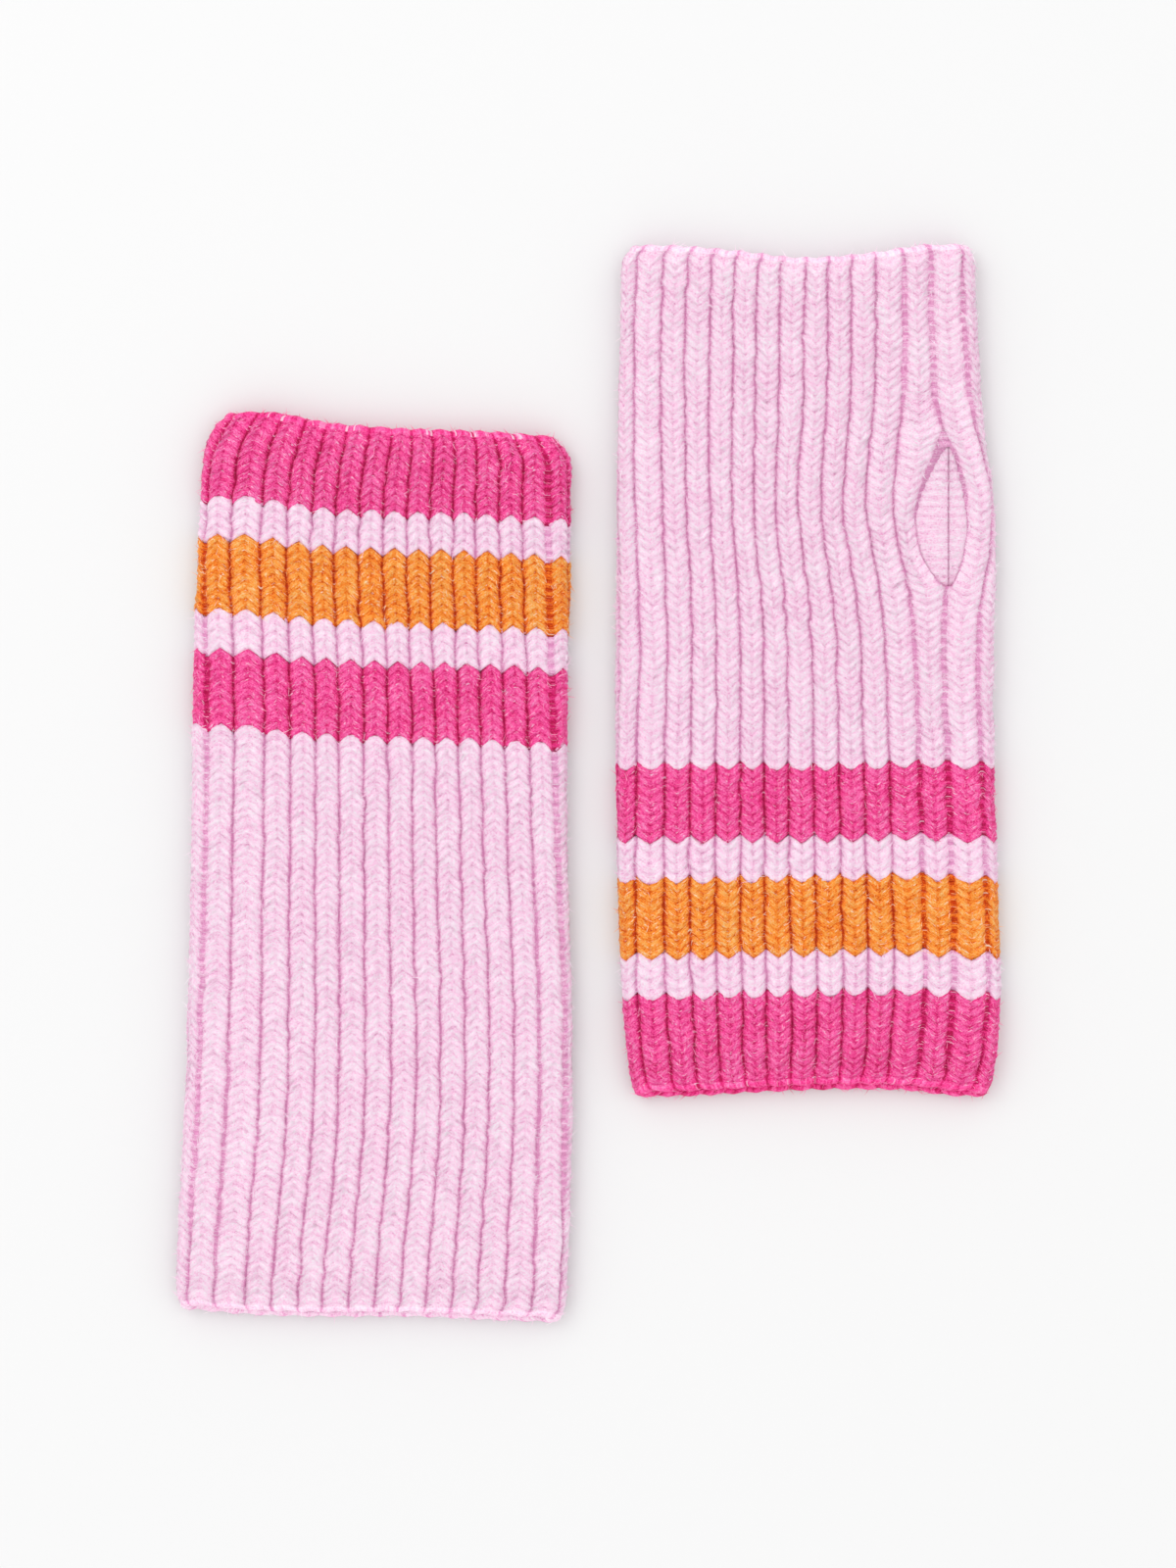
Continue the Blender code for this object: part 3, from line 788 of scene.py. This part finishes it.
def thumb_cutter(warmer):
    """The upright almond-shaped prism that opens the thumb slit in one layer."""
    t = np.linspace(0, 1, CUTTER_STEPS)
    away = -1 if warmer.thumb_layer == "front" else 1
    along = warmer.thumb_y + warmer.cuff * THUMB_LENGTH * (t - 0.5)
    wide, narrow = (lobe(bulge, CUTTER_INSET, t) for bulge in (LIP_WIDE, LIP_NARROW))
    keep = (wide > 0) & (narrow > 0)
    wide = np.stack([warmer.thumb_x + away * wide, along], 1)
    narrow = np.stack([warmer.thumb_x - away * narrow, along], 1)
    outline = np.concatenate([wide[keep], narrow[keep][::-1]])
    front = warmer.thumb_layer == "front"
    low, high = (MIDDLE, HEIGHT + CUTTER_OVER) if front else (-CUTTER_OVER, MIDDLE)
    bpy.ops.object.select_all(action="DESELECT")
    bpy.ops.mesh.primitive_circle_add(vertices=len(outline), fill_type="NGON")
    cutter = bpy.context.object
    for vertex, (x, y) in zip(cutter.data.vertices, outline):
        vertex.co = (x * MM, y * MM, low * MM)
    bpy.ops.object.mode_set(mode="EDIT")
    bpy.ops.mesh.select_all(action="SELECT")
    bpy.ops.mesh.extrude_region_move(TRANSFORM_OT_translate={"value": (0, 0, (high - low) * MM)})
    bpy.ops.mesh.select_all(action="SELECT")
    bpy.ops.mesh.normals_make_consistent(inside=False)
    bpy.ops.object.mode_set(mode="OBJECT")
    return cutter


def finish_piece(obj, yarn, node):
    """Gives a knitted piece its wool, hides the part of the model that it stands for, and says where it
    rides.
    """
    obj.data.materials.clear()
    obj.data.materials.append(WOOLS[yarn])
    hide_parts(node)
    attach(obj, "root")


knitted = {}
for warmer in (LEFT, RIGHT):
    total = sum(band.length for band in warmer.bands)
    start, courses_before = 0.0, 0
    for order, band in enumerate(warmer.bands):
        end = start + band.length / total
        low, high = (1 - end, 1 - start) if warmer.cuff > 0 else (start, end)
        low, high = max(low, 0.0), min(high, 1.0)
        rng = np.random.default_rng(100 * (warmer.cuff + 1) + order)
        shell = shell_object(
            f"{warmer.name}_{band.name}_knit",
            *knit_shell(warmer, band, low, high, total, courses_before, rng),
        )
        if band.name == "body":
            cutter = thumb_cutter(warmer)
            bpy.ops.object.select_all(action="DESELECT")
            bpy.context.view_layer.objects.active = shell
            opening = shell.modifiers.new("thumb_opening", "BOOLEAN")
            opening.operation = "DIFFERENCE"
            opening.solver = "MANIFOLD"
            opening.object = cutter
            bpy.ops.object.modifier_apply(modifier=opening.name)
            bpy.data.objects.remove(cutter)
        finish_piece(shell, band.yarn, f"{warmer.name}_{band.name}")
        knitted[warmer.name, band.name] = shell
        start = end
        courses_before += band.courses


# ---------------------------------------------------------------------------------------------------
# The lips of the thumb slit. Where the tube is left open for the thumb, the edge stitches roll over
# and mat together into two soft lips, which lie closed against each other. They are the same brushed
# pink wool, knitted on in one with the body.

LIP_TOP = 6.6
LIP_HALF_HEIGHT = 1.5
LIP_BASE_LEVEL = 1.6  # height of the middle of the lips that lie underneath
LIP_OVERLAP = 0.2  # how far a lip runs into the body's wall, which it is knitted on to
LIP_RIDGES = 15
RIDGE_HEIGHT = 0.10


def lip(warmer, name, bulge, side, rng):
    """One lip: a round ball drawn out along the slit, with soft cross ridges."""
    away = -1 if warmer.thumb_layer == "front" else 1
    bpy.ops.object.select_all(action="DESELECT")
    bpy.ops.mesh.primitive_uv_sphere_add(segments=56, ring_count=110, radius=1)
    obj = bpy.context.object
    obj.name = f"{warmer.name}_thumb_lip_{name}_knit"
    obj.data.name = obj.name
    ball = np.array([point.co for point in obj.data.vertices])
    t = np.arccos(np.clip(ball[:, 2], -1, 1)) / math.pi
    turn = np.arctan2(ball[:, 1], ball[:, 0])
    reach = lobe(bulge, -LIP_OVERLAP, 0.01 + 0.98 * t)
    half = np.maximum(reach, 0.05) / 2
    ends = np.clip(np.sin(math.pi * t) * 3, 0, 1) ** 0.6
    tall = LIP_HALF_HEIGHT * ends
    c, s = np.cos(turn), np.sin(turn)
    ridge = 1 + RIDGE_HEIGHT * np.sin(2 * math.pi * t * LIP_RIDGES + 1.5 * c)
    ridge = ridge + 0.05 * rng.normal(size=len(t))
    x = warmer.thumb_x + side * away * half * (1 + np.sign(c) * np.abs(c) ** 0.8)
    y = warmer.thumb_y + warmer.cuff * THUMB_LENGTH * (0.98 * t - 0.49)
    level = LIP_TOP - LIP_HALF_HEIGHT if warmer.thumb_layer == "front" else LIP_BASE_LEVEL
    z = level + tall * np.sign(s) * np.abs(s) ** 0.75 * ridge
    z = np.maximum(z, LEAST_HEIGHT)
    obj.data.vertices.foreach_set("co", (np.stack([x, y, z], 1) * MM).astype(np.float32).ravel())
    # Painted light and shade, as a depth for the material: each lip is painted palest over its top and
    # underneath, darker along its sides and towards its ends, and a little lighter and darker over its
    # ridges.
    edge = np.clip(np.abs(s) * 1.5, 0, 1) * ends
    shade = 0.45 + 0.50 * edge + 0.05 * np.sin(2 * math.pi * t * LIP_RIDGES)
    note_on_points(obj.data, "depth", np.clip(shade, 0, 1))
    note_on_points(obj.data, "outside", np.ones(len(t)))
    vertex = np.empty(len(obj.data.loops), np.int64)
    obj.data.loops.foreach_get("vertex_index", vertex)
    lay_map(obj.data, turn[vertex] * 2.5, t[vertex] * THUMB_LENGTH)
    face_outward(obj)
    finish_piece(obj, "pink", f"{warmer.name}_thumb_lip_{name}")
    return obj


lips = {}
for warmer in (LEFT, RIGHT):
    rng = np.random.default_rng(7)
    lips[warmer.name] = [
        lip(warmer, "wide", LIP_WIDE, 1, rng),
        lip(warmer, "narrow", LIP_NARROW, -1, rng),
    ]


# ---------------------------------------------------------------------------------------------------
# The nap. The finished knit is brushed, which pulls the ends of the fibres out of the yarn. They are
# loose wool hairs, a millimetre or two long, that mostly lie down along the stitches and soften the
# outline and the line between two colours. Each colour band and each lip carries its own.

HAIR_LENGTH = 1.7
HAIR_RADIUS = 0.07  # at the root
HAIR_BEND = 0.35  # how far the tip lies to one side
HAIRS_A_SQUARE_METRE = 3.4e5
HAIR_TILT = (0.75, 1.5)  # least and most, in radians from upright
HAIR_SCALE = (0.5, 1.5)
HAIR_ROOT = 0.1  # how far a hair starts below the surface
HAIR_LEAST_HEIGHT = 0.01


def nap_hair():
    """One hair: a slim three-sided cone, cut across once and bent there."""
    bpy.ops.object.select_all(action="DESELECT")
    bpy.ops.mesh.primitive_cone_add(
        vertices=3, radius1=HAIR_RADIUS * MM, radius2=0, depth=HAIR_LENGTH * MM, end_fill_type="NGON"
    )
    hair = bpy.context.object
    hair.name = "nap_hair"
    bpy.ops.object.mode_set(mode="EDIT")
    bpy.ops.mesh.select_all(action="SELECT")
    bpy.ops.mesh.bisect(plane_co=(0, 0, 0), plane_no=(0, 0, 1))
    bpy.ops.mesh.select_all(action="SELECT")
    bpy.ops.mesh.normals_make_consistent(inside=False)
    bpy.ops.object.mode_set(mode="OBJECT")
    for vertex in hair.data.vertices:
        share = vertex.co.z / (HAIR_LENGTH * MM) + 0.5
        vertex.co.x += HAIR_BEND * MM * share**2
        vertex.co.z += (HAIR_LENGTH / 2 - HAIR_ROOT) * MM
    return hair


def nap_nodes(hair, seed):
    """Geometry nodes that scatter the hair over the outside of a knit, each turned its own way."""
    tree = bpy.data.node_groups.new(f"nap_{seed}", "GeometryNodeTree")
    tree.interface.new_socket("Geometry", in_out="INPUT", socket_type="NodeSocketGeometry")
    tree.interface.new_socket("Geometry", in_out="OUTPUT", socket_type="NodeSocketGeometry")
    knit = tree.nodes.new("NodeGroupInput").outputs[0]
    plain = {"data_type": "FLOAT"}
    outside = add_node(tree, "GeometryNodeInputNamedAttribute", plain, {"Name": "outside"})
    spread = {"Mesh": knit, "Selection": outside.outputs[0]}
    spread.update({"Density": HAIRS_A_SQUARE_METRE, "Seed": seed})
    roots = add_node(tree, "GeometryNodeDistributePointsOnFaces", {}, spread)
    turns = {0: (HAIR_TILT[0], 0, 0), 1: (HAIR_TILT[1], 0, 2 * math.pi), "Seed": seed + 1}
    turn = add_node(tree, "FunctionNodeRandomValue", {"data_type": "FLOAT_VECTOR"}, turns)
    turn = add_node(tree, "FunctionNodeEulerToRotation", {}, {0: turn.outputs[0]})
    turned = {0: roots.outputs["Rotation"], 1: turn.outputs[0]}
    way = add_node(tree, "FunctionNodeRotateRotation", {"rotation_space": "LOCAL"}, turned)
    sizes = {2: HAIR_SCALE[0], 3: HAIR_SCALE[1], "Seed": seed + 2}
    size = add_node(tree, "FunctionNodeRandomValue", plain, sizes)
    one = add_node(tree, "GeometryNodeObjectInfo", {}, {"Object": hair})
    placed = {
        "Points": roots.outputs["Points"],
        "Instance": one.outputs["Geometry"],
        "Rotation": way.outputs[0],
        "Scale": size.outputs[1],
    }
    hairs = add_node(tree, "GeometryNodeInstanceOnPoints", {}, placed).outputs[0]
    shade = add_node(tree, "FunctionNodeRandomValue", plain, {"Seed": seed + 3})
    named = {"Geometry": hairs, "Name": "shade", "Value": shade.outputs[1]}
    each = {"data_type": "FLOAT", "domain": "INSTANCE"}
    stored = add_node(tree, "GeometryNodeStoreNamedAttribute", each, named)
    real = add_node(tree, "GeometryNodeRealizeInstances", {}, {0: stored.outputs[0]})
    tree.links.new(real.outputs[0], tree.nodes.new("NodeGroupOutput").inputs[0])
    return tree


def loose_wool(name, yarn):
    """Loose carded wool hairs: matt and pale, each a little lighter or deeper than its neighbour."""
    material, shader = new_material(f"loose_{name}_wool_hairs")
    tree = material.node_tree
    shade = add_node(tree, "ShaderNodeAttribute", {"attribute_name": "shade"}).outputs["Fac"]
    ramp = tone_ramp(tree, (yarn.deep, yarn.middle, yarn.light, yarn.pale, yarn.fleck))
    tree.links.new(shade, ramp.inputs["Fac"])
    tree.links.new(ramp.outputs["Color"], shader.inputs["Base Color"])
    shader.inputs["Roughness"].default_value = 1.0
    shader.inputs["Specular IOR Level"].default_value = 0.1
    return material


LOOSE_WOOLS = {name: loose_wool(name, yarn) for name, yarn in YARNS.items()}
hair = nap_hair()
brushed = [
    (shell, f"{side}_{name}_nap", next(band.yarn for band in LEFT.bands if band.name == name))
    for (side, name), shell in knitted.items()
]
for side, pair in lips.items():
    brushed += [(pair[0], f"{side}_lip_wide_nap", "pink"), (pair[1], f"{side}_lip_narrow_nap", "pink")]
for number, (shell, title, yarn) in enumerate(brushed):
    bpy.ops.object.select_all(action="DESELECT")
    shell.select_set(True)
    bpy.context.view_layer.objects.active = shell
    bpy.ops.object.duplicate()
    nap = bpy.context.object
    nap.name = nap.data.name = title
    scatter = nap.modifiers.new("scatter", "NODES")
    scatter.node_group = nap_nodes(hair, 10 * number)
    bpy.ops.object.modifier_apply(modifier=scatter.name)
    # The hairs underneath lie on the table.
    ends = np.empty(len(nap.data.vertices) * 3, np.float32)
    nap.data.vertices.foreach_get("co", ends)
    ends[2::3] = np.maximum(ends[2::3], HAIR_LEAST_HEIGHT * MM)
    nap.data.vertices.foreach_set("co", ends)
    nap.data.update()
    nap.data.materials.clear()
    nap.data.materials.append(LOOSE_WOOLS[yarn])
    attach(nap, "root")
bpy.data.objects.remove(hair)


# ---------------------------------------------------------------------------------------------------
# The knitted shell of each band is looked up once more; nothing else is done with it.

for warmer in (LEFT, RIGHT):
    for band in warmer.bands:
        shell = knitted[warmer.name, band.name]

bpy.context.view_layer.update()
